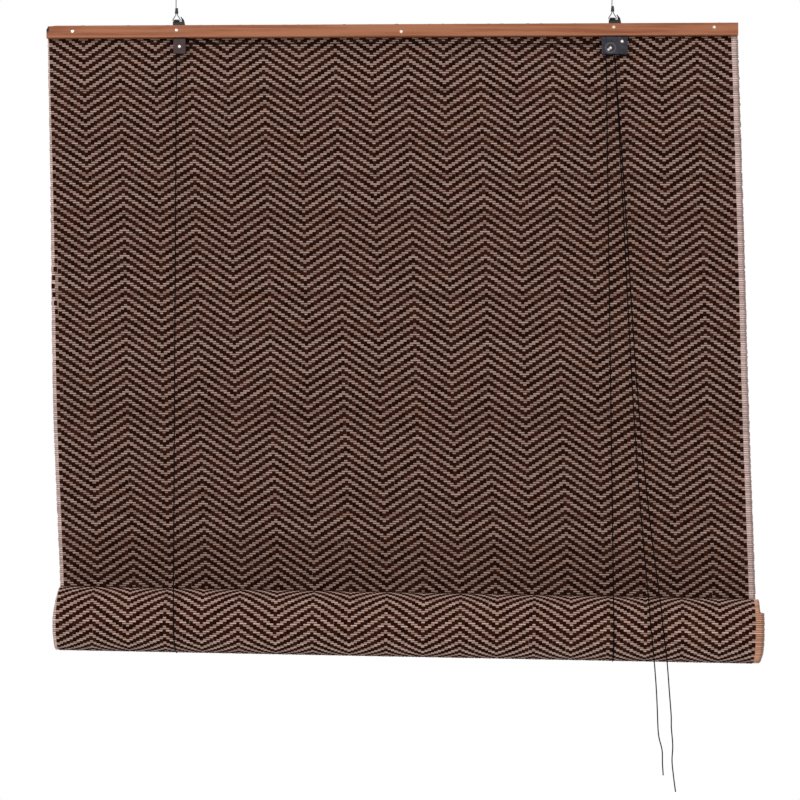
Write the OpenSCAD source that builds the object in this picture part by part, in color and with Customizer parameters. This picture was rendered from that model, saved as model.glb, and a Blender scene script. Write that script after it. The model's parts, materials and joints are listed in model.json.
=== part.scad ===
// Woven reed roll-up blind, drawn partly raised. Lengths are in millimetres, angles in degrees.
// X runs along the headrail, Y points to the wall and Z is up.
// The origin is the middle of the headrail's back face.

/* [Headrail] */
// Length of both battens
headrail_w = 900; // [600:10:1800]
// Height of both battens
batten_h = 16; // [12:0.5:30]
// Depth of the front batten
front_batten_t = 12; // [10:0.5:20]
// Depth of the back batten
back_batten_t = 10; // [8:0.5:20]
// Bevel along the long edges of the battens
batten_bevel = 0.8; // [0.2:0.1:2]
// Width of the worn upper corner at the front batten's left end
wear_w = 11; // [2:0.5:20]
// Height of the worn upper corner at the front batten's left end
wear_h = 5; // [1:0.5:8]
// Diameter of the head of a batten screw
screw_head_d = 5.2; // [4:0.1:8]
// Height of the head of a batten screw
screw_head_h = 1.4; // [0.8:0.1:3]
// Diameter of the shank of a batten screw
screw_shank_d = 2.6; // [2:0.1:4]
// Wood left behind the point of a batten screw
screw_point_wall = 3; // [1:0.5:6]
// Width of the slots of the cross in a screw's head
screw_slot_w = 0.7; // [0.4:0.1:1.2]

/* [Mat] */
// Length of a reed
mat_w = 900.5; // [600:0.5:1800]
// Distance from one reed to the next
reed_pitch = 2.8; // [2:0.1:6]
// Thickness of a reed
reed_t = 2.8; // [1.5:0.1:5]
// Depth of the groove between two reeds
reed_groove = 0.7; // [0.2:0.1:1.2]
// Height of the mat above the battens
mat_above = 1.2; // [0.5:0.1:6]
// Lean of the hanging mat to the right
mat_lean = 1.7; // [0:0.1:3]
// Distance from one dark yarn to the next
yarn_pitch = 4.28; // [3:0.01:8]
// Height of the dark yarn above the reeds
yarn_t = 0.6; // [0.3:0.1:1.5]
// Yarns in one slope of the chevron
yarns_per_slope = 11; // [5:1:20]
// Reeds in one dark and one light stripe together
reeds_per_stripe = 4; // [2:2:8]
// Bare reed ends to the left of the weave
fringe_left = 1.5; // [0.5:0.5:20]
// Bare reed ends to the right of the weave
fringe_right = 8.5; // [2:0.5:20]
// From the left edge of the weave to the first valley of the chevron
first_valley = 45; // [5:1:47]

/* [Roll] */
// Radius of the roll over its reeds
roll_r = 43.5; // [30:0.5:70]
// Distance from one turn of the roll to the next
turn_pitch = 4.4; // [3.6:0.1:8]
// Radius of the hollow inside the last turn
core_r = 12; // [8:0.5:20]
// Drop from the headrail's middle to the roll's axis
roll_drop = 769; // [200:1:1600]
// Tilt of the roll, right end down
roll_tilt = 1; // [0:0.1:3]
// Length of the reeds in the roll
roll_w = 906; // [600:1:1800]
// How much shorter the reeds on top of the roll are at the right end
fringe_step = 5; // [2:0.5:15]
// Width of the lath in the roll's core
lath_w = 20; // [10:0.5:30]
// Thickness of the lath in the roll's core
lath_t = 12; // [5:0.5:20]

/* [Cords] */
// Diameter of all the cords
cord_d = 1.6; // [1:0.1:4]
// Place of the left sling along the headrail, to the left of the middle
sling_left = 275; // [150:5:400]
// Place of the right sling along the headrail, to the right of the middle
sling_right = 285; // [150:5:400]
// Place where the first pull cord touches the roll
pull_1_x = 331.5; // [300:0.5:400]
// Place where the second pull cord touches the roll
pull_2_x = 347; // [300:0.5:400]
// Drift of the pull cords to the right from the roll to their ends
pull_drift = 15.5; // [0:0.5:60]
// Length of the first pull cord that hangs below the roll's axis
pull_1_tail = 183; // [50:1:900]
// Length of the second pull cord that hangs below the roll's axis
pull_2_tail = 203.5; // [50:0.5:900]
// Diameter of a knot at the back of the headrail
knot_d = 5; // [3:0.5:10]

/* [Pulley bracket] */
// Width of the bracket
bracket_w = 15.5; // [14:0.5:40]
// Height of the bracket
bracket_h = 21; // [16:0.5:40]
// Place of the wheel's pin, to the left of the headrail's middle
bracket_pin_x = 276; // [150:1:400]
// Drop from the top of the bracket to the pin
bracket_pin_drop = 12; // [8:0.5:25]
// Distance from the pin to the middle of the cord
wheel_cord_r = 4.2; // [3:0.1:8]
// Thickness of the folded sheet of the bracket and the lock
sheet_t = 1; // [0.6:0.1:2]
// Height and depth of the slanted fold at the top of the bracket and the lock
fold = 2.2; // [1:0.1:2.2]

/* [Cord lock] */
// Width of the lock
lock_w = 33.5; // [24:0.5:60]
// Height of the lock
lock_h = 24; // [18:0.5:50]
// Place of the lock's left edge, to the right of the headrail's middle
lock_x = 273.5; // [150:0.5:400]
// From the lock's left edge to the wheel's pin
lock_pin_in = 11.2; // [8:0.1:20]
// Drop from the top of the lock to the wheel's pin
lock_pin_drop = 16.2; // [10:0.1:30]
// Distance from the wheel's pin to the middle of the cord
lock_cord_r = 5.5; // [4:0.1:10]
// From the lock's left edge to the pawl's pin
pawl_pin_in = 26.2; // [18:0.1:45]
// Drop from the top of the lock to the pawl's pin
pawl_pin_drop = 7.8; // [5:0.1:20]
// Radius of the pawl's rounded nose
pawl_nose_r = 2.6; // [1.5:0.1:5]
// Radius of the pawl's boss
pawl_boss_r = 3.4; // [2.2:0.1:6]
// Length of the pawl's thumb tail
pawl_tail = 6.5; // [3:0.5:12]
// Thickness of the pawl's arm
pawl_arm_t = 3.6; // [2:0.1:6]
// Radius of the ring pressed into the lock's front
ring_r = 6.2; // [4:0.1:7]
// Width of the pressed ring
ring_w = 0.9; // [0.4:0.1:2]
// Height of the pressed ring
ring_h = 0.5; // [0.2:0.1:1]

/* [Pins and small screws] */
// Diameter of the pins
pin_d = 2.6; // [2:0.1:5]
// Diameter of the round heads of the pins
pin_head_d = 4.4; // [3:0.1:8]
// Height of the round heads of the pins
pin_head_h = 1; // [0.5:0.1:2]
// Height of the flattened back ends of the pins
pin_back_h = 0.3; // [0.1:0.05:0.4]
// Half width of a cord groove at the rim of a wheel
groove_rim = 1.7; // [1.2:0.1:3]
// Half width of a cord groove at its root
groove_root = 0.9; // [0.6:0.1:2]
// Width of the land beside a cord groove
groove_land = 0.5; // [0.3:0.1:2]
// Height of the left wheel's rim above the middle of the cord
rim_above = 1.6; // [1:0.1:3]
// Height of the lock wheel's rim above the middle of the cord
lock_rim_above = 0.6; // [0.3:0.1:1]
// Diameter of the head of a bracket screw
small_head_d = 3; // [2.4:0.1:3]
// Height of the head of a bracket screw
small_head_h = 1.2; // [0.6:0.1:2]
// Diameter of the shank of a bracket screw
small_shank_d = 1.6; // [1.2:0.1:2]
// Length of the shank of a bracket screw
small_shank_l = 7; // [4:0.5:7]
// Place of the bracket screws behind the middle of the bracket and of the lock
small_screw_back = 0.8; // [0:0.1:0.9]

/* [Hangers] */
// Thickness of the hanger's steel strap
strap_t = 1.2; // [0.8:0.1:2]
// Width of the strap between the batten and the mat
strap_w = 12; // [8:0.5:20]
// Depth of the strap below the headrail's middle
strap_below = 5; // [3:0.5:7]
// Height of the strap's ear above the batten
ear_h = 12.5; // [6:0.5:20]
// Width of the ear at its top
ear_top_w = 1; // [0.5:0.1:10]
// Width of the ear at the batten
ear_w = 5.2; // [3:0.1:12]
// How far the ear's peak leans to the left over the wire's leg
ear_lean = 1.4; // [0:0.1:2]
// Gap between the ear and the wire
ear_gap = 0.8; // [0.4:0.1:3]
// Height of the knuckle's axis above the batten
knuckle_up = 7; // [3:0.5:10]
// Outer radius of the knuckle
knuckle_r = 1.9; // [1.4:0.1:4]
// Length of the knuckle
knuckle_l = 7; // [4:0.5:12]
// Diameter of the hanger's wire
wire_d = 1.2; // [0.8:0.1:2]
// Half the width of the wire triangle at its foot
foot_half = 5; // [4:0.1:10]
// Height of the wire triangle over its foot
triangle_h = 8.5; // [8:0.5:30]
// Height of the stem from the triangle to the eye
stem_h = 22; // [12:0.5:60]
// Radius of the eye to the middle of its wire
eye_r = 4.8; // [3.5:0.1:10]
// Height of the crimped sleeve
sleeve_h = 7; // [3:0.5:10]
// Outer radius of the crimped sleeve at its foot
sleeve_r = 2.4; // [1.8:0.1:5]
// Outer radius of the crimped sleeve at its top
sleeve_top_r = 1.7; // [1.7:0.1:4]

/* [Fits] */
// Gap between pieces that are fixed together
seat_gap = 0.05; // [0.02:0.01:0.2]
// Gap all round a turning piece
turn_gap = 0.3; // [0.2:0.05:0.6]

/* [Hidden] */
$fn = 48;

// Places of the batten screws, as shares of half the headrail's length and of half its height
screw_x_shares = [-0.924, -0.622, 0.029, 0.642, 0.931];
screw_z_shares = [0.04, 0.16, -0.26, 0.32, 0.25];
// Place of the knee in the worn corner's edge, as shares of its width and height
wear_knee_shares = [0.2, 0.36];
// The screws that also hold the hangers
left_hanger_screw = 1;
right_hanger_screw = 3;
// Sides of a cord and of a wire, and steps along a slope of the chevron on the roll
tube_sides = 8;
steps_per_slope = 3;
// Shares of the way round for the arcs that cords make
arc_shares = [0, 0.125, 0.25, 0.375, 0.5, 0.625, 0.75, 0.875, 1];
// The free ends of the pull cords: sideways drift and drop, as shares
tail_1_shares = [[0.1, 0.07], [0.28, 0.23], [0.42, 0.38], [0.52, 0.54], [0.58, 0.68], [0.67, 0.75],
    [0.91, 0.83], [0.94, 0.92], [1, 1]];
tail_2_shares = [[0.12, 0.07], [0.33, 0.21], [0.53, 0.41], [0.66, 0.54], [0.67, 0.61], [0.78, 0.72],
    [0.72, 0.81], [0.83, 0.9], [1, 1]];
// Steps of the short arc where a pull cord touches the roll, as shares
touch_shares = [0, 0.5, 1];
// Reeds that the chevron on the roll covers, from the foot of its back, as shares of the first turn
yarn_turn_from_share = 0.06;
yarn_turn_to_share = 0.93;
// Places of the two screws in a bracket, as shares of its width
small_screw_shares = [0.14, 0.86];
// Place of the ear's outer corner, as shares of its height and of its width
ear_corner_share = 0.65;
ear_reach_share = 0.65;
// Place of the knuckle, as a share of the strap's width to the left of the screw
knuckle_share = 0.08;
// Depth of a screw's cross, as a share of its head
slot_depth_share = 0.6;
// Width of the flat on a round head, as a share of its diameter
head_flat_share = 0.6;
// Upper part of the roll whose reeds are shorter, as a share of its radius
step_from_share = 0.45;

mat_front = -back_batten_t - reed_t;
mat_mid = -back_batten_t - reed_t / 2;
rail_front = mat_front - front_batten_t;
batten_top = batten_h / 2;
batten_foot = -batten_h / 2;

weave_w = mat_w - fringe_left - fringe_right;
slope_w = yarns_per_slope * yarn_pitch;
slope_h = yarns_per_slope * reed_pitch;
stripe_h = reeds_per_stripe * reed_pitch;
band_h = stripe_h / 2;
lean = tan(mat_lean);

spiral_r = roll_r - reed_t / 2;
spiral_end_r = core_r + reed_t / 2;
spiral_y = mat_mid - spiral_r;
roll_x = roll_drop * lean;
spiral_len = PI * (pow(spiral_r, 2) - pow(spiral_end_r, 2)) / turn_pitch;
first_turn_len = 2 * PI * (spiral_r - turn_pitch / 2);
first_turn_reeds = round(first_turn_len / reed_pitch);

wheel_groove_r = wheel_cord_r - cord_d / 2 - turn_gap / 2;
lock_groove_r = lock_cord_r - cord_d / 2 - turn_gap / 2;
groove_w = 2 * groove_rim + groove_land;
wheel_w = groove_w + groove_land;
lock_wheel_w = 2 * groove_w + groove_land;
bracket_d = wheel_w + 2 * (turn_gap + sheet_t);
lock_d = lock_wheel_w + 2 * (turn_gap + sheet_t);
front_groove_y = rail_front + bracket_d / 2 + seat_gap;
lock_y = front_groove_y + groove_w / 2;
rear_groove_y = lock_y + groove_w / 2;
bracket_pin_z = batten_foot - bracket_pin_drop;
lock_pin_x = lock_x + lock_pin_in;
lock_pin_z = batten_foot - lock_pin_drop;
pawl_x = lock_x + pawl_pin_in;
pawl_z = batten_foot - pawl_pin_drop;

// A wound stripe is made of flats, and stands this far off the reeds at their ends
wound_lift = roll_r * (1 - cos(slope_h / steps_per_slope / 2 / spiral_r * 180 / PI)) + seat_gap;
// The outer turn draws in from the roll's back to its front, so a sling's middle is behind the roll's axis
sling_shift = turn_pitch / 4;
sling_y = spiral_y + sling_shift;
sling_r = roll_r - sling_shift + wound_lift + yarn_t + cord_d / 2 + 2 * turn_gap;
back_cord_y = sling_y + sling_r;

knuckle_z = batten_top + knuckle_up;
strap_y = mat_front - strap_t / 2;

// Places on the hanging mat and on the roll

function mat_left(z) = -mat_w / 2 - z * lean;
function mat_right(z) = mat_w / 2 - z * lean;
function weave_x(u, z) = mat_left(z) + fringe_left + u;
function roll_z(x) = -roll_drop - (x - roll_x) * tan(roll_tilt);

// Outline of the hanging mat from a height down to just above the roll's axis
function mat_outline(top) =
    let (right_z = roll_z(mat_w / 2) + turn_gap, left_z = roll_z(-mat_w / 2) + turn_gap)
    [[mat_left(top), top], [mat_right(top), top], [mat_right(right_z), right_z], [mat_left(left_z), left_z]];

// Height of the chevron, 0 at a valley and 1 at a peak
function zigzag(u) =
    let (t = (u - first_valley) / slope_w, m = t - 2 * floor(t / 2))
    m < 1 ? m : 2 - m;

// Places across the weave where the chevron turns, with steps between them
function turning_places(steps) = concat(
    [0],
    [for (k = [ceil(-first_valley * steps / slope_w) : floor((weave_w - first_valley) * steps / slope_w)])
        first_valley + k * slope_w / steps],
    [weave_w]);

// Angle round the spiral at a length along the mat, and the place there at a height off its middle
function spiral_angle(s) = (spiral_r - sqrt(pow(spiral_r, 2) - turn_pitch * s / PI)) * 360 / turn_pitch;
function spiral_point(s, off) =
    let (a = spiral_angle(s), r = spiral_r - turn_pitch * a / 360 + off)
    [r * cos(a), -r * sin(a)];

// Common shapes

// Extrudes along X a shape drawn in Y and Z, from the middle outwards
module along_x(length) {
    rotate([90, 0, 90])
        linear_extrude(length, center = true)
            children();
}

// Extrudes along Y a shape drawn in X and Z, with its back at the given place
module along_y(back, depth) {
    translate([0, back, 0])
        rotate([90, 0, 0])
            linear_extrude(depth)
                children();
}

// Turns about Y a profile drawn in radius and depth
module turned_y(x, y, z) {
    translate([x, y, z])
        rotate([-90, 0, 0])
            rotate_extrude()
                children();
}

// Straight rod between two points
module rod(from, to, d) {
    v = to - from;
    translate(from)
        rotate([0, acos(v.z / norm(v)), atan2(v.y, v.x)])
            cylinder(h = norm(v), d = d);
}

// One tube along a route; no part of the route runs along the side vector
module tube(route, d, side) {
    n = len(route);
    ring = [for (i = [0 : n - 1])
        let (
            t = route[min(i + 1, n - 1)] - route[max(i - 1, 0)],
            a = cross(t, side) / norm(cross(t, side)),
            b = cross(a, t) / norm(cross(a, t)))
        for (k = [0 : tube_sides - 1])
            route[i] + d / 2 * (a * cos(360 * k / tube_sides) + b * sin(360 * k / tube_sides))];
    walls = [for (i = [0 : n - 2], k = [0 : tube_sides - 1])
        let (next = (k + 1) % tube_sides)
        [i * tube_sides + k, i * tube_sides + next, (i + 1) * tube_sides + next, (i + 1) * tube_sides + k]];
    first_end = [[for (k = [tube_sides - 1 : -1 : 0]) k]];
    last_end = [[for (k = [0 : tube_sides - 1]) (n - 1) * tube_sides + k]];
    polyhedron(ring, concat(first_end, walls, last_end));
}

// Arc of cord in a plane across X or Y, drawn about the origin of that plane
module cord_arc(radius, from, to) {
    rotate([0, 0, from])
        rotate_extrude(angle = to - from)
            translate([radius, 0])
                circle(d = cord_d);
}

// Headrail

module batten(back, depth) {
    half = batten_h / 2;
    in = half - batten_bevel;
    translate([0, back, 0])
        along_x(headrail_w)
            polygon([
                [0, -in], [-batten_bevel, -half], [-depth + batten_bevel, -half], [-depth, -in],
                [-depth, in], [-depth + batten_bevel, half], [-batten_bevel, half], [0, in]]);
}

module at_screws() {
    for (i = [0 : len(screw_x_shares) - 1])
        translate([screw_x_shares[i] * headrail_w / 2, rail_front, screw_z_shares[i] * batten_h / 2])
            rotate([-90, 0, 0])
                children();
}

function screw_x(i) = screw_x_shares[i] * headrail_w / 2;
function screw_z(i) = screw_z_shares[i] * batten_h / 2;

// Holes for the batten screws, up to the point inside the back batten
module screw_holes() {
    at_screws()
        cylinder(h = -rail_front - screw_point_wall + seat_gap, d = screw_shank_d + 2 * seat_gap);
}

// Holes in the batten's underside for the screws of the bracket and the lock
module small_screw_holes() {
    at_small_screws()
        cylinder(h = small_shank_l + seat_gap, d = small_shank_d + 2 * seat_gap);
}

// Pocket for a hanger's strap in the back of the front batten
module strap_pocket(x) {
    depth = strap_t + seat_gap;
    width = strap_w + 2 * seat_gap;
    translate([x - width / 2, mat_front - depth, -strap_below - seat_gap])
        cube([width, depth, batten_h]);
}

// Wood worn off the upper corner at the front batten's left end
module worn_corner() {
    left = -headrail_w / 2;
    top = batten_top + wear_h;
    knee = [left + wear_w * wear_knee_shares[0], batten_top - wear_h * wear_knee_shares[1]];
    along_y(0, -2 * rail_front)
        polygon([[left - wear_w, top], [left - wear_w, batten_top - wear_h], [left, batten_top - wear_h], knee,
            [left + wear_w, batten_top], [left + wear_w, top]]);
}

module front_batten() {
    color("Peru")
        difference() {
            batten(mat_front, front_batten_t);
            worn_corner();
            screw_holes();
            small_screw_holes();
            strap_pocket(screw_x(left_hanger_screw));
            strap_pocket(screw_x(right_hanger_screw));
        }
}

module back_batten() {
    color("Sienna")
        difference() {
            batten(0, back_batten_t);
            screw_holes();
            for (x = [-sling_left, sling_right])
                translate([x, back_cord_y, -batten_h])
                    cylinder(h = 2 * batten_h, d = cord_d + 2 * seat_gap);
        }
}

// Round head with a flat top, its foot at the origin and its top along -Z
module round_head(d, h) {
    mirror([0, 0, 1])
        cylinder(h = h, d1 = d, d2 = d * head_flat_share);
}

module batten_screw() {
    slot = [screw_slot_w, screw_head_d * head_flat_share, screw_head_h * slot_depth_share];
    difference() {
        union() {
            round_head(screw_head_d, screw_head_h);
            cylinder(h = -rail_front - screw_point_wall, d = screw_shank_d);
        }
        for (a = [0, 90])
            rotate([0, 0, a])
                translate([-slot.x / 2, -slot.y / 2, -screw_head_h])
                    cube(slot);
    }
}

module batten_screws() {
    color("Gainsboro")
        at_screws()
            batten_screw();
}

// Mat

// Height profile of a row of reeds: a crest in the middle of each reed and a groove between two
function reed_edge(count, side) = [
    for (i = [0 : count - 1], crest = [0, 1])
        [side * (reed_t / 2 - (1 - crest) * reed_groove), -(i + crest / 2) * reed_pitch]];

module hanging_mat() {
    top = batten_top + mat_above;
    reeds = ceil((top - roll_z(mat_w)) / reed_pitch);
    front = reed_edge(reeds, -1);
    back = reed_edge(reeds, 1);
    color("BurlyWood")
        difference() {
            intersection() {
                translate([0, mat_mid, top])
                    along_x(2 * mat_w)
                        polygon(concat(front, [for (i = [len(back) - 1 : -1 : 0]) back[i]]));
                along_y(0, 2 * back_batten_t)
                    polygon(mat_outline(top));
            }
            screw_holes();
        }
}

// One dark stripe of the chevron on the hanging mat
module stripe(z) {
    u = turning_places(1);
    n = len(u);
    upper = [for (i = [0 : n - 1])
        let (h = z + zigzag(u[i]) * slope_h) [weave_x(u[i], h), h]];
    lower = [for (i = [n - 1 : -1 : 0])
        let (h = z - band_h + zigzag(u[i]) * slope_h) [weave_x(u[i], h), h]];
    along_y(mat_front, yarn_t)
        polygon(concat(upper, lower));
}

module hanging_yarn() {
    stripes = ceil((roll_drop + slope_h) / stripe_h);
    color("SaddleBrown")
        intersection() {
            union()
                for (k = [0 : stripes - 1])
                    stripe(batten_foot - k * stripe_h);
            along_y(mat_front, yarn_t)
                polygon(mat_outline(batten_foot - seat_gap));
        }
}

// Roll

// Puts a shape drawn round the roll's axis where the roll hangs
module at_roll() {
    translate([roll_x, spiral_y, -roll_drop])
        rotate([0, roll_tilt, 0])
            children();
}

// Points along one side of the mat's spiral: reeds on the first turn, a plain wall further in
function spiral_side(side) = concat(
    [for (i = [0 : first_turn_reeds - 1], crest = [0, 1])
        spiral_point((i + crest / 2) * reed_pitch, side * (reed_t / 2 - (1 - crest) * reed_groove))],
    [for (s = [first_turn_reeds * reed_pitch : stripe_h / 2 : spiral_len])
        spiral_point(s, side * reed_t / 2)]);

module rolled_mat() {
    outside = spiral_side(1);
    inside = spiral_side(-1);
    color("BurlyWood")
        at_roll()
            difference() {
                along_x(roll_w)
                    polygon(concat(outside, [for (i = [len(inside) - 1 : -1 : 0]) inside[i]]));
                translate([roll_w / 2 - fringe_step, -2 * roll_r, roll_r * step_from_share])
                    cube([2 * fringe_step, 4 * roll_r, roll_r]);
            }
}

// One dark stripe of the chevron, wound on the roll
module wound_stripe(s) {
    u = turning_places(steps_per_slope);
    n = len(u);
    seat = reed_t / 2 + wound_lift;
    corners = [[0, seat], [0, seat + yarn_t], [band_h, seat + yarn_t], [band_h, seat]];
    points = [for (i = [0 : n - 1], c = corners)
        let (p = spiral_point(s + c[0] + (1 - zigzag(u[i])) * slope_h, c[1]))
        [u[i] + fringe_left - mat_w / 2, p.x, p.y]];
    // The shorter diagonal of each wall lies closer to the roll
    walls = [for (i = [0 : n - 2], k = [0 : 3])
        let (
            a = 4 * i + k,
            b = 4 * i + (k + 1) % 4,
            turned = k == (zigzag(u[i + 1]) < zigzag(u[i]) ? 1 : 3))
        for (half = turned ? [[a, b, a + 4], [b, b + 4, a + 4]] : [[a, b, b + 4], [a, b + 4, a + 4]])
            half];
    polyhedron(points, concat([[3, 2, 1, 0]], walls, [[4 * n - 4, 4 * n - 3, 4 * n - 2, 4 * n - 1]]));
}

module rolled_yarn() {
    from = ceil(yarn_turn_from_share * first_turn_len / stripe_h);
    to = floor((yarn_turn_to_share * first_turn_len - slope_h) / stripe_h);
    color("SaddleBrown")
        at_roll()
            for (k = [from : to])
                wound_stripe(k * stripe_h);
}

module bottom_lath() {
    color("Peru")
        at_roll()
            cube([headrail_w, lath_w, lath_t], center = true);
}

// Pulley bracket and cord lock

// Folded sheet, open below and at both sides, with its top against the batten and a slanted fold in front
module folded_sheet(x, y, width, height, depth) {
    front = -depth / 2;
    back = depth / 2;
    in = sheet_t * tan(45 / 2);
    translate([x + width / 2, y, batten_foot])
        along_x(width)
            polygon([
                [front, -height], [front, -fold], [front + fold, 0], [back, 0], [back, -height],
                [back - sheet_t, -height], [back - sheet_t, -sheet_t], [front + fold + in, -sheet_t],
                [front + sheet_t, -fold - in], [front + sheet_t, -height]]);
}

// Hole for a pin through both walls of a folded sheet
module pin_hole(x, y, z, depth) {
    translate([x, y - depth, z])
        rotate([-90, 0, 0])
            cylinder(h = 2 * depth, d = pin_d + 2 * seat_gap);
}

// Pin with a round head in front and behind
module pin(x, y, z, depth) {
    translate([x, y, z])
        rotate([-90, 0, 0])
            union() {
                translate([0, 0, -depth / 2 - seat_gap])
                    round_head(pin_head_d, pin_head_h);
                translate([0, 0, -depth / 2 - pin_head_h / 2])
                    cylinder(h = depth + (pin_head_h + pin_back_h) / 2, d = pin_d);
                translate([0, 0, depth / 2 + seat_gap])
                    mirror([0, 0, 1])
                        round_head(pin_head_d, pin_back_h);
            }
}

// Half section of a wheel with cord grooves at the given places along its pin
module wheel_section(grooves, width, rim, root_r) {
    polygon(concat(
        [[pin_d / 2 + turn_gap, -width / 2], [rim, -width / 2]],
        [for (g = grooves, p = [[rim, -groove_rim], [root_r, -groove_root], [root_r, groove_root], [rim, groove_rim]])
            [p[0], g + p[1]]],
        [[rim, width / 2], [pin_d / 2 + turn_gap, width / 2]]));
}

// Screws that go up through a bracket's top into the batten, at both ends of the bracket
module at_small_screws() {
    for (s = small_screw_shares) {
        translate([-bracket_pin_x + (s - 1 / 2) * bracket_w, front_groove_y + small_screw_back, batten_foot])
            children();
        translate([lock_x + s * lock_w, lock_y + small_screw_back, batten_foot])
            children();
    }
}

module bracket_screws() {
    color("Silver")
        at_small_screws()
            union() {
                translate([0, 0, -sheet_t])
                    round_head(small_head_d, small_head_h);
                translate([0, 0, -sheet_t])
                    cylinder(h = small_shank_l + sheet_t, d = small_shank_d);
            }
}

module small_screw_clearance() {
    at_small_screws()
        translate([0, 0, -2 * sheet_t])
            cylinder(h = 3 * sheet_t, d = small_shank_d + 2 * seat_gap);
}

module pulley_bracket() {
    color("DimGray")
        difference() {
            folded_sheet(-bracket_pin_x - bracket_w / 2, front_groove_y, bracket_w, bracket_h, bracket_d);
            pin_hole(-bracket_pin_x, front_groove_y, bracket_pin_z, bracket_d);
            small_screw_clearance();
        }
}

module pulley_wheel() {
    color("DarkSlateGray")
        turned_y(-bracket_pin_x, front_groove_y, bracket_pin_z)
            wheel_section([0], wheel_w, wheel_cord_r + rim_above, wheel_groove_r);
}

module pulley_pin() {
    color("Gainsboro")
        pin(-bracket_pin_x, front_groove_y, bracket_pin_z, bracket_d);
}

module lock_housing() {
    color("DarkSlateGray")
        difference() {
            union() {
                folded_sheet(lock_x, lock_y, lock_w, lock_h, lock_d);
                turned_y(lock_pin_x, lock_y - lock_d / 2 - ring_h, lock_pin_z)
                    translate([ring_r - ring_w, 0])
                        square([ring_w, ring_h + sheet_t / 2]);
            }
            pin_hole(lock_pin_x, lock_y, lock_pin_z, lock_d);
            pin_hole(pawl_x, lock_y, pawl_z, lock_d);
            small_screw_clearance();
        }
}

module lock_wheel() {
    color("DarkSlateGray")
        turned_y(lock_pin_x, lock_y, lock_pin_z)
            wheel_section([-groove_w / 2, groove_w / 2], lock_wheel_w, lock_cord_r + lock_rim_above, lock_groove_r);
}

module lock_wheel_pin() {
    color("Gainsboro")
        pin(lock_pin_x, lock_y, lock_pin_z, lock_d);
}

// The pawl's nose stands beside the cords, level with the wheel's pin
module lock_pawl() {
    nose_x = lock_pin_x + lock_cord_r + cord_d / 2 + turn_gap + pawl_nose_r;
    arm = [nose_x - pawl_x, lock_pin_z - pawl_z];
    arm_angle = atan2(arm.y, arm.x);
    tail_angle = arm_angle + 90;
    color("SlateGray")
        translate([pawl_x, 0, pawl_z])
            along_y(lock_y + lock_wheel_w / 2, lock_wheel_w)
                difference() {
                    union() {
                        circle(r = pawl_boss_r);
                        translate(arm)
                            circle(r = pawl_nose_r);
                        rotate(arm_angle)
                            translate([0, -pawl_arm_t / 2])
                                square([norm(arm), pawl_arm_t]);
                        rotate(tail_angle)
                            translate([0, -pawl_arm_t / 2])
                                square([pawl_tail, pawl_arm_t]);
                    }
                    circle(d = pin_d + 2 * turn_gap);
                }
}

module pawl_pin() {
    color("Gainsboro")
        pin(pawl_x, lock_y, pawl_z, lock_d);
}

// Hangers

module hanger_strap(i) {
    x = screw_x(i);
    half = strap_w / 2;
    foot = batten_top + seat_gap;
    low = knuckle_z - wire_d / 2 - turn_gap;
    knuckle_left = hanger_x(i) - knuckle_l / 2;
    knuckle_right = hanger_x(i) + knuckle_l / 2;
    ear = hanger_x(i) + foot_half + wire_d / 2 + ear_gap;
    color("DimGray")
        difference() {
            union() {
                along_y(mat_front, strap_t)
                    polygon([
                        [x - half, -strap_below], [x + half, -strap_below], [x + half, foot], [ear + ear_w, foot],
                        [ear + ear_w * ear_reach_share, foot + ear_h * ear_corner_share],
                        [ear - ear_lean + ear_top_w, foot + ear_h], [ear - ear_lean, foot + ear_h],
                        [ear, knuckle_z + 2 * wire_d], [ear, low], [knuckle_right, low],
                        [knuckle_right, knuckle_z], [knuckle_left, knuckle_z], [knuckle_left, low], [x - half, low]]);
                translate([knuckle_left, strap_y, knuckle_z])
                    rotate([0, 90, 0])
                        cylinder(h = knuckle_l, r = knuckle_r);
            }
            translate([knuckle_left - wire_d, strap_y, knuckle_z])
                rotate([0, 90, 0])
                    cylinder(h = knuckle_l + 2 * wire_d, d = wire_d + 2 * turn_gap);
            translate([x, mat_front - front_batten_t, screw_z(i)])
                rotate([-90, 0, 0])
                    cylinder(h = front_batten_t + strap_t, d = screw_shank_d + 2 * seat_gap);
        }
}

module hanger_strap_left() {
    hanger_strap(left_hanger_screw);
}

module hanger_strap_right() {
    hanger_strap(right_hanger_screw);
}

function hanger_x(i) = screw_x(i) - strap_w * knuckle_share;

// Wire bent from the sleeve down one leg, through the knuckle, up the other leg and round the eye
module hanger_wire(i) {
    x = hanger_x(i);
    apart = wire_d / 2 + turn_gap / 2;
    bend = wire_d;
    top = triangle_h;
    eye_z = top + stem_h + eye_r;
    leg_in = foot_half - apart;
    leg = [[apart, top + sleeve_h], [apart, top + wire_d], [apart + leg_in / 8, top - wire_d],
        [foot_half - leg_in / 8, 2 * bend], [foot_half, bend], [foot_half - bend / 4, bend / 4]];
    left_leg = [for (k = [len(leg) - 1 : -1 : 1]) [-leg[k].x, leg[k].y]];
    stem = [[-apart, top + sleeve_h], [-apart, eye_z - eye_r - 2 * wire_d], [-apart / 2, eye_z - eye_r - wire_d / 2]];
    eye = [for (a = [-70 : 20 : 250]) [eye_r * cos(a), eye_z + eye_r * sin(a)]];
    flat = concat(leg, [[foot_half - bend, 0], [bend - foot_half, 0]], left_leg, stem, eye);
    color("Silver")
        tube([for (p = flat) [x + p.x, strap_y, knuckle_z + p.y]], wire_d, [0, 1, 0]);
}

module hanger_wire_left() {
    hanger_wire(left_hanger_screw);
}

module hanger_wire_right() {
    hanger_wire(right_hanger_screw);
}

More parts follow.
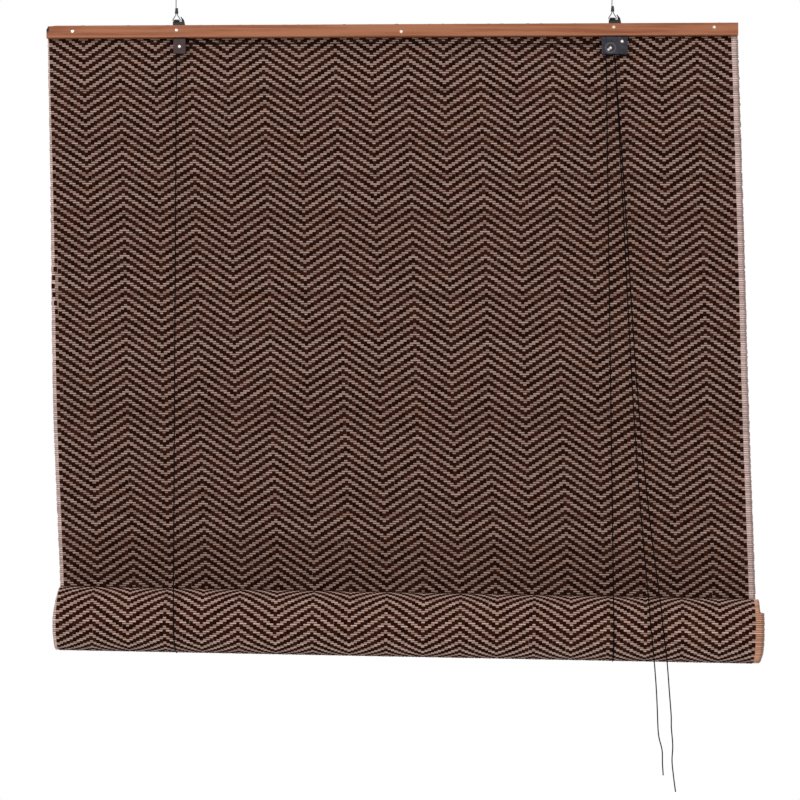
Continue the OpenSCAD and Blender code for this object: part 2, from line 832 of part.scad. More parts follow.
// Sleeve crimped round the two wires over the triangle
module hanger_sleeve(i) {
    across = 2 * wire_d + turn_gap + 2 * seat_gap;
    depth = wire_d + 2 * seat_gap;
    color("DimGray")
        translate([hanger_x(i), strap_y, knuckle_z + triangle_h + wire_d])
            difference() {
                cylinder(h = sleeve_h, r1 = sleeve_r, r2 = sleeve_top_r);
                translate([-across / 2, -depth / 2, -sleeve_h])
                    cube([across, depth, 3 * sleeve_h]);
            }
}

module hanger_sleeve_left() {
    hanger_sleeve(left_hanger_screw);
}

module hanger_sleeve_right() {
    hanger_sleeve(right_hanger_screw);
}

// Cords

// Angle of the upper line that touches both wheels' cord circles
wheels_dx = lock_pin_x + bracket_pin_x;
wheels_dz = lock_pin_z - bracket_pin_z;
touch_angle = atan2(wheels_dz, wheels_dx) + acos((wheel_cord_r - lock_cord_r) / norm([wheels_dx, wheels_dz]));

function on_wheel(x, y, z, r, a) = [x + r * cos(a), y, z + r * sin(a)];

// Points of a cord round a wheel, from one angle to another
function wheel_route(x, y, z, r, from, to) = [for (s = arc_shares) on_wheel(x, y, z, r, from + (to - from) * s)];

// Cord from the left wheel along the headrail, over the lock's wheel and down
module cross_cord() {
    left = wheel_route(-bracket_pin_x, front_groove_y, bracket_pin_z, wheel_cord_r, 180, touch_angle);
    right = wheel_route(lock_pin_x, front_groove_y, lock_pin_z, lock_cord_r, touch_angle, 0);
    color("DarkSlateGray")
        tube(concat(left, right), cord_d, [0, 1, 0]);
}

// Cord over the lock's wheel, from the right front strand to the second pull cord
module lock_cord() {
    color("DarkSlateGray")
        tube(wheel_route(lock_pin_x, rear_groove_y, lock_pin_z, lock_cord_r, 180, 0), cord_d, [0, 1, 0]);
}

// Angle round the roll where a straight cord from a wheel meets its sling
function sling_angle(y, z, x) =
    let (dy = y - sling_y, dz = z - roll_z(x))
    atan2(dz, dy) + acos(sling_r / norm([dy, dz]));

module front_strand(from, x) {
    a = sling_angle(from.y, from.z, x);
    to = [x, sling_y + sling_r * cos(a), roll_z(x) + sling_r * sin(a)];
    way = (to - from) / norm(to - from);
    color("DarkSlateGray")
        rod(from + way * turn_gap, to - way * turn_gap, cord_d);
}

left_strand_top = [-bracket_pin_x - wheel_cord_r, front_groove_y, bracket_pin_z];
right_strand_top = [lock_pin_x - lock_cord_r, rear_groove_y, lock_pin_z];

module front_strand_left() {
    front_strand(left_strand_top, -sling_left);
}

module front_strand_right() {
    front_strand(right_strand_top, sling_right);
}

module back_strand(x) {
    color("DarkSlateGray")
        rod([x, back_cord_y, roll_z(x) + turn_gap], [x, back_cord_y, batten_top], cord_d);
}

module back_strand_left() {
    back_strand(-sling_left);
}

module back_strand_right() {
    back_strand(sling_right);
}

// Cord from the front of the roll, under it and up to its back
module sling_cord(x, top) {
    color("DarkSlateGray")
        translate([x, sling_y, roll_z(x)])
            rotate([90, 0, 90])
                cord_arc(sling_r, sling_angle(top.y, top.z, x), 360);
}

module sling_cord_left() {
    sling_cord(-sling_left, left_strand_top);
}

module sling_cord_right() {
    sling_cord(sling_right, right_strand_top);
}

module cord_knots() {
    color("DarkSlateGray")
        for (x = [-sling_left, sling_right])
            translate([x, back_cord_y, batten_top])
                intersection() {
                    translate([0, 0, knot_d / 4])
                        sphere(d = knot_d);
                    translate([-knot_d, -knot_d, 0])
                        cube(2 * knot_d);
                }
}

// Angle round the roll where a pull cord from the lock's foot touches the roll
function pull_angle(y, x) = sling_angle(y, batten_foot - lock_h, x);

// Middle of a pull cord at an angle round the roll
function pull_point(x, a) = [x, sling_y + sling_r * cos(a), roll_z(x) + sling_r * sin(a)];

// Pull cord from the lock's wheel to the roll's front
module pull_cord_upper(y, x) {
    from = [lock_pin_x + lock_cord_r, y, lock_pin_z - turn_gap];
    exit = [lock_pin_x + lock_cord_r, y, batten_foot - lock_h];
    to = pull_point(x, pull_angle(y, x)) + [0, 0, turn_gap];
    color("DarkSlateGray")
        tube([from, exit, for (t = [1 / 8 : 1 / 8 : 1]) exit + (to - exit) * t], cord_d, [1, 0, 0]);
}

module pull_cord_1_upper() {
    pull_cord_upper(front_groove_y, pull_1_x);
}

module pull_cord_2_upper() {
    pull_cord_upper(rear_groove_y, pull_2_x);
}

// Pull cord from where it touches the roll's front down to its free end
module pull_cord_lower(y, x, tail, tail_shares) {
    from = pull_angle(y, x);
    touch = [for (s = touch_shares) pull_point(x, from + (180 - from) * s)];
    hang = [for (s = tail_shares)
        [x + pull_drift * s[0], sling_y - sling_r, roll_z(x) - tail * s[1]]];
    color("DarkSlateGray")
        tube(concat(touch, hang), cord_d, [1, 0, 0]);
}

module pull_cord_1_lower() {
    pull_cord_lower(front_groove_y, pull_1_x, pull_1_tail, tail_1_shares);
}

module pull_cord_2_lower() {
    pull_cord_lower(rear_groove_y, pull_2_x, pull_2_tail, tail_2_shares);
}

front_batten();
back_batten();
batten_screws();
hanging_mat();
hanging_yarn();
rolled_mat();
rolled_yarn();
bottom_lath();
pulley_bracket();
pulley_wheel();
pulley_pin();
lock_housing();
lock_wheel();
lock_wheel_pin();
lock_pawl();
pawl_pin();
bracket_screws();
hanger_strap_left();
hanger_strap_right();
hanger_wire_left();
hanger_wire_right();
hanger_sleeve_left();
hanger_sleeve_right();
cross_cord();
lock_cord();
front_strand_left();
front_strand_right();
back_strand_left();
back_strand_right();
sling_cord_left();
sling_cord_right();
cord_knots();
pull_cord_1_upper();
pull_cord_2_upper();
pull_cord_1_lower();
pull_cord_2_lower();
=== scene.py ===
"""Looks of a woven reed roll-up blind, built round the solids of its frame. Lengths are in metres."""

import json
import math

import bpy
import numpy as np
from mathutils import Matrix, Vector


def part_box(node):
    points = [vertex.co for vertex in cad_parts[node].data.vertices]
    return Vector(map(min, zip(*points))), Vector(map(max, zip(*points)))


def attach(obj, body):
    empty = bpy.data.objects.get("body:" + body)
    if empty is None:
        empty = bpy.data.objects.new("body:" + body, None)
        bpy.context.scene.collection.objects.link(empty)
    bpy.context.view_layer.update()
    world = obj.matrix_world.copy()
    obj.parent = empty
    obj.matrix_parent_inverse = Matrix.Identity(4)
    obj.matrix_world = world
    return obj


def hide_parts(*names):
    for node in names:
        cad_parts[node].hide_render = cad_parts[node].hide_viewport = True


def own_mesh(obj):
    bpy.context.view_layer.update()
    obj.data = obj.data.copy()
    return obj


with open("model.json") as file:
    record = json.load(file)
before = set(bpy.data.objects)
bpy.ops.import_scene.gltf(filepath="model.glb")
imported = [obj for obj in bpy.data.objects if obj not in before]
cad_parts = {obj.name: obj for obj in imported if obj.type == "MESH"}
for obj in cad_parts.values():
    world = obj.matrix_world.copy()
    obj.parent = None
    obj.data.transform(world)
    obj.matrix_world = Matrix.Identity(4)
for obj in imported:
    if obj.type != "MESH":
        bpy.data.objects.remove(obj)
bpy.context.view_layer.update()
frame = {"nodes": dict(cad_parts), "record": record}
rng = np.random.default_rng(11)

# Mat
MAT_WIDTH = 0.9005
MAT_LEAN = math.tan(math.radians(1.7))
FRINGE_LEFT = 0.0015
FRINGE_RIGHT = 0.0085
FRINGE_SPREAD = 0.00025
# How far the left reed ends stand out further down the mat, and over what share of its length they get there
LEFT_GROWTH = 0.0034
LEFT_GROWTH_SHARE = 0.45
# How far the reed ends draw in just above the roll, and over what share of the mat's length
ROLL_DRAW = 0.0014
ROLL_DRAW_SHARE = 0.06
# Sideways bow of the mat at its left and right edges, and where it is, as shares of the mat's length
BOW_LEFT = 0.003
BOW_RIGHT = 0.001
BOW_MIDDLE = 0.65
BOW_SPREAD = 0.2

# Painted shade: a dark spot on the headrail's upper left corner
SHADE_SPOT_BELOW_TOP = 0.0045
SHADE_SPOT_RADII = (0.0045, 0.008, 0.0065)
SHADE_SPOT_COLOUR = (0.004, 0.003, 0.003, 1)

# Painted highlights on the cord lock's plate: a lighter ring round the wheel's pin and a bright glint beside
# it
LOCK_RING_RADIUS = 0.0063
LOCK_RING_SOFTNESS = 0.0012
GLINT_PLACE = Vector((-0.0026, 0, -0.0022))
GLINT_RADIUS = 0.0021

# Reeds
REED_PITCH = 0.0028
REED_HALF_HEIGHT = 0.00138
REED_HALF_DEPTH = 0.00115
REED_SIDES = 6
REED_TONE = 0.45
# How far a reed wanders off its line, and the half waves along it
REED_WOBBLE = 0.00008
REED_WAVES = (3, 7, 11)
# Places along a reed at which it is drawn, for the reeds that show and for those inside the roll
REED_STATIONS = 18
INNER_STATIONS = 6
# How many of those places are on each bare end, and the length over which the end takes on its own colour
END_STATIONS = 2
END_BLEND = 0.0004
# Colours of bare reed ends and of the roll's right ends, and their darkest and lightest shades
PALE_END = (0.70, 0.51, 0.46)
TAN_END = (0.66, 0.34, 0.21)
END_SHADES = (0.7, 1.2)
# Colour of the painted shade on the reeds' right tips, and colour of reddish stretches
TIP_SHADE_COLOUR = (0.29, 0.18, 0.165, 1)
RUST_COLOUR = (0.38, 0.19, 0.12, 1)

# Yarn
YARN_PITCH = 0.00428
YARN_WIDTH = 0.0046
YARN_WIDTH_SHARES = (0.92, 1.08)
YARN_CROWN = 0.0009
YARN_JITTER = 0.00012
YARN_TONE = 0.6
INNER_YARN_TONE = 0.3
YARNS_PER_SLOPE = 11
REEDS_PER_STRIPE = 4
REEDS_PER_FLOAT = 2
FIRST_VALLEY = 0.045
# Outermost left yarn where it has slipped outwards: by how much, at which reed and over how many reeds
SLIP = 0.0048
SLIP_REED = 121
SLIP_REEDS_ABOVE = 7.0
SLIP_REEDS_BELOW = 9.5
# A full float and a plainer one for the mat's back: places along it in reeds and its rise there, then places
# across it as shares of its width and its crown there
FULL_RUN = (np.array([-0.2, 0.3, 1.0, 1.7, 2.2]), np.array([0.6, 0.95, 1.0, 0.95, 0.6]))
FULL_SECTION = (np.array([-0.5, -0.3, 0.3, 0.5]), np.array([-0.1, 0.5, 0.5, -0.1]))
PLAIN_RUN = (np.array([-0.05, 0.45, 1.55, 2.05]), np.array([0.4, 1.0, 1.0, 0.4]))
PLAIN_SECTION = (np.array([-0.5, 0.0, 0.5]), np.array([-0.1, 0.7, -0.1]))

# Roll
ROLL_RADIUS = 0.0435
REED_THICKNESS = 0.0028
TURN_PITCH = 0.0044
CORE_RADIUS = 0.012
ROLL_DROP = 0.769
ROLL_TILT = math.radians(1.0)
ROLL_WIDTH = 0.906
# How far the roll's right reed ends step in near its top, and from which share of its radius up
FRINGE_STEP = 0.005
STEP_HEIGHT_SHARE = 0.53
# How far and how suddenly the right reed ends draw in at the roll's foot, and the left ones at its top
FOOT_STEP = 0.005
FOOT_STEP_POWER = 5
TOP_STEP = 0.004

# Cords
CORD_DIAMETER = 0.0016
CORD_SIDES = 10
CORD_STEP = 0.003
# Strands of the braid that cross each way round a cord, and the length of one crossing in radii
BRAID_STRANDS = 4.0
BRAID_RADII = 4
# How far a sling's middle lies off the reeds it presses into, and the angle over which it comes down to them
SLING_LIFT = 0.0005
SLING_BLEND = 0.5
SLING_POINTS = 60
# How far the round outline that a sling follows lies behind the spiral's middle
SLING_SHIFT = TURN_PITCH / 4
KNOT_RADIUS = 0.0016
KNOT_POINTS = 60
KNOT_SIDE = (0.3, 0.2, 1)
ARC_POINTS = 14
# Cord that stays with the bracket or the lock below its foot, and cord above the roll that rises with it
CORD_BELOW_LOCK = 0.002
CORD_ABOVE_ROLL = 0.020
HOLDERS = {"left": "pulley_bracket", "right": "lock_housing"}
WHEEL_CORD_RADIUS = 0.0042
LOCK_CORD_RADIUS = 0.0055
# Sideways bow of each pull cord between the lock and the roll, and the power that moves its middle down
PULL_BOWS = {1: 0.0043, 2: 0.0072}
PULL_BOW_POWER = 1.7
# Route of each pull cord's free end: sideways drift and drop, as shares of the whole drift and drop
TAIL_SHARES = {
    1: [(0.1, 0.07), (0.28, 0.23), (0.42, 0.38), (0.52, 0.54), (0.58, 0.68), (0.67, 0.75), (0.91, 0.83),
        (0.94, 0.92), (1, 1)],
    2: [(0.12, 0.07), (0.33, 0.21), (0.53, 0.41), (0.66, 0.54), (0.67, 0.61), (0.78, 0.72), (0.72, 0.81),
        (0.83, 0.9), (1, 1)],
}

# Stage
AMBIENT = 0.45
FLOOR_SIZE = 3.0
FLOOR_Z = -1.3
FLOOR_GREYS = [(0.3, (0.80, 0.80, 0.80)), (0.7, (0.84, 0.84, 0.84))]
# Place and watts of each lamp, the point they all look at and their size
LAMPS = {"key": ((-1.3, -2.6, 1.0), 43.5), "fill": ((1.8, -2.4, 0.1), 20), "back": ((0.6, 2.2, 1.2), 24)}
LAMP_AIM = (0, 0, -0.4)
LAMP_SIZE = 1.6

# Camera, as the photograph was taken
CAMERA_PLACE = Vector((0.1275, -3.7975, -0.5527))
CAMERA_YAW = math.radians(1.76)
CAMERA_PITCH = math.radians(1.09)
CAMERA_LENS_MM = 131.0
CAMERA_SENSOR_MM = 36.0

# Places taken from the frame
mat_low, mat_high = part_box("hanging_mat")
MAT_TOP = mat_high.z
MAT_Y = (mat_low.y + mat_high.y) / 2
MAT_LENGTH = MAT_TOP + ROLL_DROP
ROLL_X = ROLL_DROP * MAT_LEAN
SPIRAL_RADIUS = ROLL_RADIUS - REED_THICKNESS / 2
SPIRAL_END = CORE_RADIUS + REED_THICKNESS / 2
SPIRAL_LENGTH = math.pi * (SPIRAL_RADIUS**2 - SPIRAL_END**2) / TURN_PITCH
ROLL_Y = MAT_Y - SPIRAL_RADIUS
REEDS_HANGING = round(MAT_LENGTH / REED_PITCH)
REEDS_FIRST_TURN = round(2 * math.pi * (SPIRAL_RADIUS - TURN_PITCH / 2) / REED_PITCH)
REEDS_WOUND = int(SPIRAL_LENGTH / REED_PITCH)
YARNS_LEFT = int(FIRST_VALLEY / YARN_PITCH)
YARNS = YARNS_LEFT + 1 + int((MAT_WIDTH - FRINGE_LEFT - FRINGE_RIGHT - FIRST_VALLEY) / YARN_PITCH)
WEAVE_LEFT = FRINGE_LEFT + FIRST_VALLEY - (YARNS_LEFT + 0.5) * YARN_PITCH
WEAVE_RIGHT = WEAVE_LEFT + YARNS * YARN_PITCH


# Places on the mat


def on_mat(u, v, off):
    """Place on the hanging mat: u across from the left, v down from the top, off towards the wall."""
    bow = BOW_LEFT + (BOW_RIGHT - BOW_LEFT) * u / MAT_WIDTH
    bow = bow * np.exp(-(((v / MAT_LENGTH - BOW_MIDDLE) / BOW_SPREAD) ** 2))
    x = -MAT_WIDTH / 2 - MAT_TOP * MAT_LEAN + u + v * MAT_LEAN - bow
    drop = v / MAT_LENGTH * math.tan(ROLL_TILT) * (x - ROLL_X)
    return np.stack(np.broadcast_arrays(x, MAT_Y + off, MAT_TOP - v - drop), axis=-1)


def spiral(s):
    """Angle round the roll, and radius of the mat's middle, at a length s along the wound mat."""
    angle = (SPIRAL_RADIUS - np.sqrt(SPIRAL_RADIUS**2 - TURN_PITCH * s / math.pi)) * 2 * math.pi / TURN_PITCH
    return angle, SPIRAL_RADIUS - TURN_PITCH * angle / (2 * math.pi)


def from_roll(across, y, z):
    """Turns a place drawn about the roll's axis into the row frame."""
    x = ROLL_X + across * math.cos(ROLL_TILT) + z * math.sin(ROLL_TILT)
    height = -ROLL_DROP - across * math.sin(ROLL_TILT) + z * math.cos(ROLL_TILT)
    return np.stack(np.broadcast_arrays(x, ROLL_Y + y, height), axis=-1)


def on_roll(u, s, off):
    """Place on the wound mat: u across from the left, s along from the roll's back, off outwards."""
    angle, radius = spiral(s)
    return from_roll(u - MAT_WIDTH / 2, (radius + off) * np.cos(angle), -(radius + off) * np.sin(angle))


# Meshes


def grid_faces(count, rows, columns, closed=False):
    """Quads of several grids of points; a closed grid also joins its last column to its first."""
    wide = columns if closed else columns - 1
    row, column = np.meshgrid(np.arange(rows - 1), np.arange(wide), indexing="ij")
    after = (column + 1) % columns
    here = row * columns
    below = here + columns
    quads = np.stack([here + column, here + after, below + after, below + column], axis=-1).reshape(-1, 4)
    starts = np.arange(count) * rows * columns
    return (quads + starts[:, None, None]).reshape(-1, 4)


def end_faces(count, rows, sides):
    """Quads that close both ends of several tubes with an even number of sides."""
    first = np.array([[0, k + 2, k + 1, k] for k in range(1, sides - 1, 2)])
    last = np.array([[0, k, k + 1, k + 2] for k in range(1, sides - 1, 2)]) + (rows - 1) * sides
    starts = np.arange(count) * rows * sides
    return (np.concatenate([first, last]) + starts[:, None, None]).reshape(-1, 4)


def tube_faces(count, rows, sides):
    """Quads of several tubes, with both their ends."""
    return np.concatenate([grid_faces(count, rows, sides, True), end_faces(count, rows, sides)])


def add_mesh(name, points, faces, material, **attributes):
    """Object made of quads, with a value or vector for each point under each attribute's name."""
    mesh = bpy.data.meshes.new(name)
    mesh.vertices.add(len(points))
    mesh.vertices.foreach_set("co", np.asarray(points, np.float32).ravel())
    mesh.loops.add(faces.size)
    mesh.loops.foreach_set("vertex_index", faces.astype(np.int32).ravel())
    mesh.polygons.add(len(faces))
    mesh.polygons.foreach_set("loop_start", np.arange(0, faces.size, 4, dtype=np.int32))
    mesh.polygons.foreach_set("use_smooth", np.ones(len(faces), bool))
    mesh.update(calc_edges=True)
    for key, values in attributes.items():
        values = np.asarray(values, np.float32)
        if values.ndim == 1:
            mesh.attributes.new(key, "FLOAT", "POINT").data.foreach_set("value", values)
        else:
            mesh.attributes.new(key, "FLOAT_VECTOR", "POINT").data.foreach_set("vector", values.ravel())
    mesh.materials.append(material)
    made = bpy.data.objects.new(name, mesh)
    bpy.context.scene.collection.objects.link(made)
    return made


def smooth_noise(count, stations):
    """Rows of soft random waves between about -1 and 1."""
    share = np.linspace(0, 1, stations)
    phases = rng.uniform(0, 2 * math.pi, (len(REED_WAVES), count, 1))
    waves = [np.sin(share * halves * math.pi + phase) for halves, phase in zip(REED_WAVES, phases)]
    return sum(waves) / len(waves)


# Materials


def node(tree, kind, inputs=None, **settings):
    """New shader node; an input is a plain value or another node's output."""
    made = tree.nodes.new(kind)
    for key, value in settings.items():
        setattr(made, key, value)
    for key, value in (inputs or {}).items():
        if isinstance(value, bpy.types.NodeSocket):
            tree.links.new(value, made.inputs[key])
        else:
            made.inputs[key].default_value = value
    return made


def new_material(name, **constants):
    """Material with a Principled shader whose plain sockets are set by name."""
    material = bpy.data.materials.new(name)
    material.use_nodes = True
    shader = material.node_tree.nodes["Principled BSDF"]
    for key, value in constants.items():
        shader.inputs[key.replace("_", " ")].default_value = value
    return material, material.node_tree, shader


def ramp(tree, value, stops):
    """Colour ramp through (place, colour) stops."""
    made = node(tree, "ShaderNodeValToRGB", {"Fac": value})
    elements = made.color_ramp.elements
    while len(elements) < len(stops):
        elements.new(0.5)
    for element, (place, colour) in zip(elements, stops):
        element.position = place
        element.color = (*colour, 1)
    return made.outputs["Color"]


def noise(tree, scale, detail=3.0):
    """Noise in the row frame, with a scale for each direction."""
    where = node(tree, "ShaderNodeTexCoord").outputs["Object"]
    stretched = node(tree, "ShaderNodeMapping", {"Vector": where, "Scale": scale}).outputs["Vector"]
    made = node(tree, "ShaderNodeTexNoise", {"Vector": stretched, "Scale": 1.0, "Detail": detail})
    return made.outputs["Fac"]


def sums(tree, first, second, share):
    """First value plus a share of the second."""
    return node(tree, "ShaderNodeMath", {0: second, 1: share, 2: first}, operation="MULTIPLY_ADD").outputs[0]


def bump(tree, shader, height, strength, distance):
    """Bump on a shader from a height."""
    made = node(tree, "ShaderNodeBump", {"Height": height, "Strength": strength, "Distance": distance})
    tree.links.new(made.outputs["Normal"], shader.inputs["Normal"])


def roughness(tree, shader, value, low, high):
    """Roughness that follows a value between 0 and 1."""
    made = node(tree, "ShaderNodeMapRange", {"Value": value, "To Min": low, "To Max": high})
    tree.links.new(made.outputs["Result"], shader.inputs["Roughness"])


def times(tree, colour, factor):
    """Colour made darker by a factor between 0 and 1."""
    grey = node(tree, "ShaderNodeCombineColor", {"Red": factor, "Green": factor, "Blue": factor})
    return node(
        tree,
        "ShaderNodeMix",
        {"Factor": 1.0, 6: colour, 7: grey.outputs["Color"]},
        data_type="RGBA",
        blend_type="MULTIPLY",
    ).outputs[2]


def blend(tree, factor, first, second):
    """First colour where the factor is 0, second where it is 1."""
    return node(tree, "ShaderNodeMix", {"Factor": factor, 6: first, 7: second}, data_type="RGBA").outputs[2]


def reed_material(name, dark, middle, light, left_end, right_end):
    """Split reed: streaks along it, a tone of its own, painted shade in its grooves, reddish stretches and
    bare ends.
    """
    material, tree, shader = new_material(name, Specular_IOR_Level=0.25)
    tone = node(tree, "ShaderNodeAttribute", attribute_name="tone").outputs["Fac"]
    streak = noise(tree, (25, 1400, 1400))
    patch = noise(tree, (14, 300, 300), 1.0)
    value = sums(tree, sums(tree, tone, streak, 0.5), patch, 0.35)
    plain = ramp(tree, value, [(0.35, dark), (0.62, middle), (0.95, light)])
    rust = node(
        tree,
        "ShaderNodeMapRange",
        {"Value": patch, "From Min": 0.66, "From Max": 0.80, "To Max": 0.8},
    ).outputs["Result"]
    tinted = blend(tree, rust, plain, RUST_COLOUR)
    for end, colour in (("at_left", left_end), ("at_right", right_end)):
        there = node(tree, "ShaderNodeAttribute", attribute_name=end).outputs["Fac"]
        darker, lighter = [tuple(shade * c for c in colour) for shade in END_SHADES]
        bare = ramp(tree, value, [(0.4, darker), (0.9, lighter)])
        tinted = blend(tree, there, tinted, bare)
    # Painted shade: the reeds' right tips darker and greyer
    tip = node(tree, "ShaderNodeAttribute", attribute_name="tip").outputs["Fac"]
    painted_rim_shading = node(
        tree,
        "ShaderNodeMapRange",
        {"Value": tip, "From Min": 0.58, "From Max": 0.74, "To Max": 0.6},
    ).outputs["Result"]
    tinted = blend(tree, painted_rim_shading, tinted, TIP_SHADE_COLOUR)
    # Painted shade: each reed darker towards its sides, in the grooves between reeds
    groove = node(tree, "ShaderNodeAttribute", attribute_name="groove").outputs["Fac"]
    shade = node(
        tree,
        "ShaderNodeMapRange",
        {"Value": groove, "From Min": 0.55, "To Min": 1.0, "To Max": 0.45},
    ).outputs["Result"]
    tree.links.new(times(tree, tinted, shade), shader.inputs["Base Color"])
    roughness(tree, shader, streak, 0.5, 0.75)
    bump(tree, shader, streak, 0.4, 0.0003)
    return material


def yarn_material(name, dark, light):
    """Dark yarn with fibres along its length."""
    material, tree, shader = new_material(name, Specular_IOR_Level=0.03)
    tone = node(tree, "ShaderNodeAttribute", attribute_name="tone").outputs["Fac"]
    fibre = noise(tree, (2600, 500, 500), 2.0)
    colour = ramp(tree, sums(tree, tone, fibre, 0.5), [(0.3, dark), (1.0, light)])
    tree.links.new(colour, shader.inputs["Base Color"])
    roughness(tree, shader, fibre, 0.75, 0.95)
    bump(tree, shader, fibre, 0.6, 0.0003)
    return material


def spot(tree, centre, radii):
    """1 within half the radii round a point of the row frame, falling to 0 at the radii."""
    where = node(tree, "ShaderNodeTexCoord").outputs["Object"]
    away = node(tree, "ShaderNodeVectorMath", {0: where, 1: centre}, operation="SUBTRACT").outputs[0]
    shares = node(tree, "ShaderNodeVectorMath", {0: away, 1: radii}, operation="DIVIDE").outputs[0]
    distance = node(tree, "ShaderNodeVectorMath", {0: shares}, operation="LENGTH").outputs["Value"]
    return node(
        tree,
        "ShaderNodeMapRange",
        {"Value": distance, "From Min": 0.5, "To Min": 1.0, "To Max": 0.0},
    ).outputs["Result"]


def wood_material(name, dark, middle, light):
    """Stained wood with grain along X, pores, a satin coat and painted shade in a dark spot at its upper
    left corner.
    """
    material, tree, shader = new_material(name, Specular_IOR_Level=0.2)
    grain = noise(tree, (6, 260, 260), 5.0)
    pores = noise(tree, (60, 2600, 2600), 2.0)
    board = noise(tree, (1.6, 20, 20), 2.0)
    value = sums(tree, sums(tree, grain, pores, 0.3), board, 0.5)
    plain = ramp(tree, value, [(0.62, dark), (0.84, middle), (1.0, light)])
    low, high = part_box("front_batten")
    # Painted shade: a dark spot at the front batten's upper left corner
    shade_spot = spot(tree, (low.x, low.y, high.z - SHADE_SPOT_BELOW_TOP), SHADE_SPOT_RADII)
    tree.links.new(blend(tree, shade_spot, plain, SHADE_SPOT_COLOUR), shader.inputs["Base Color"])
    roughness(tree, shader, grain, 0.42, 0.6)
    bump(tree, shader, pores, 0.35, 0.0002)
    return material


def painted_metal(name, dark, light):
    """Dark coat on steel with fine grit and a few worn spots."""
    material, tree, shader = new_material(name, Specular_IOR_Level=0.3)
    grit = noise(tree, (1500, 1500, 1500), 3.0)
    wear_and_highlight = noise(tree, (160, 160, 160), 4.0)
    colour = ramp(tree, sums(tree, wear_and_highlight, grit, 0.2), [(0.45, dark), (0.85, light)])
    tree.links.new(colour, shader.inputs["Base Color"])
    roughness(tree, shader, wear_and_highlight, 0.32, 0.55)
    bump(tree, shader, grit, 0.25, 0.0001)
    return material


def ring(tree, centre, middle, half_width):
    """1 at a distance from a line along Y through a point, falling to 0 on both sides of it."""
    where = node(tree, "ShaderNodeTexCoord").outputs["Object"]
    away = node(tree, "ShaderNodeVectorMath", {0: where, 1: centre}, operation="SUBTRACT").outputs[0]
    flat = node(tree, "ShaderNodeVectorMath", {0: away, 1: (1, 0, 1)}, operation="MULTIPLY").outputs[0]
    distance = node(tree, "ShaderNodeVectorMath", {0: flat}, operation="LENGTH").outputs["Value"]
    off = node(tree, "ShaderNodeMath", {0: distance, 1: middle}, operation="SUBTRACT").outputs[0]
    gap = node(tree, "ShaderNodeMath", {0: off}, operation="ABSOLUTE").outputs[0]
    return node(
        tree,
        "ShaderNodeMapRange",
        {"Value": gap, "From Max": half_width, "To Min": 1.0, "To Max": 0.0},
    ).outputs["Result"]


def lock_material(name, dark, light, painted_rim_shading, glint):
    """Dark coat of the cord lock, with a painted highlight on its pressed ring and a painted glint beside
    the wheel's pin.
    """
    material = painted_metal(name, dark, light)
    tree = material.node_tree
    colour = tree.nodes["Principled BSDF"].inputs["Base Color"]
    plain = colour.links[0].from_socket
    low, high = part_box("lock_wheel_pin")
    pin = Vector(((low.x + high.x) / 2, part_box("lock_housing")[0].y, (low.z + high.z) / 2))
    # Painted highlight: a lighter ring round the wheel's pin
    wear_and_highlight = blend(tree, ring(tree, pin, LOCK_RING_RADIUS, LOCK_RING_SOFTNESS), plain, painted_rim_shading)
    # Painted highlight: a bright glint beside the pin
    bright = spot(tree, pin + GLINT_PLACE, (GLINT_RADIUS, GLINT_RADIUS, GLINT_RADIUS))
    tree.links.new(blend(tree, bright, wear_and_highlight, glint), colour)
    return material


def bare_metal(name, dark, light, rough):
    """Bright steel with faint handling marks."""
    material, tree, shader = new_material(name, Metallic=1.0)
    marks = noise(tree, (500, 500, 500), 4.0)
    tree.links.new(ramp(tree, marks, [(0.35, dark), (0.65, light)]), shader.inputs["Base Color"])
    roughness(tree, shader, marks, rough, rough + 0.15)
    bump(tree, shader, marks, 0.15, 0.0001)
    return material


def plastic_material(name, dark, light):
    """Moulded nylon with a soft mottle."""
    material, tree, shader = new_material(name)
    mottle = noise(tree, (700, 700, 700), 3.0)
    tree.links.new(ramp(tree, mottle, [(0.3, dark), (0.7, light)]), shader.inputs["Base Color"])
    roughness(tree, shader, mottle, 0.4, 0.55)
    bump(tree, shader, mottle, 0.1, 0.0001)
    return material


def cord_material(name, dark, light):
    """Braided cord: two sets of strands that cross, from its turn and length."""
    material, tree, shader = new_material(name, Specular_IOR_Level=0.04)
    braid = node(tree, "ShaderNodeAttribute", attribute_name="braid").outputs["Vector"]
    split = node(tree, "ShaderNodeSeparateXYZ", {"Vector": braid})
    strands = []
    for way in (1, -1):
        slant = sums(tree, split.outputs["Y"], split.outputs["X"], way * BRAID_STRANDS)
        wave = node(tree, "ShaderNodeMath", {0: slant, 1: 2 * math.pi}, operation="MULTIPLY").outputs[0]
        strands.append(node(tree, "ShaderNodeMath", {0: wave}, operation="SINE").outputs[0])
    crossing = node(tree, "ShaderNodeMath", {0: strands[0], 1: strands[1]}, operation="MULTIPLY").outputs[0]
    height = node(tree, "ShaderNodeMapRange", {"Value": crossing, "From Min": -1.0}).outputs["Result"]
    # Painted shade: the cord darker where the braid's surface is low, between the strands
    tree.links.new(ramp(tree, height, [(0.1, dark), (0.9, light)]), shader.inputs["Base Color"])
    roughness(tree, shader, height, 0.85, 0.7)
    bump(tree, shader, height, 0.7, 0.0003)
    return material


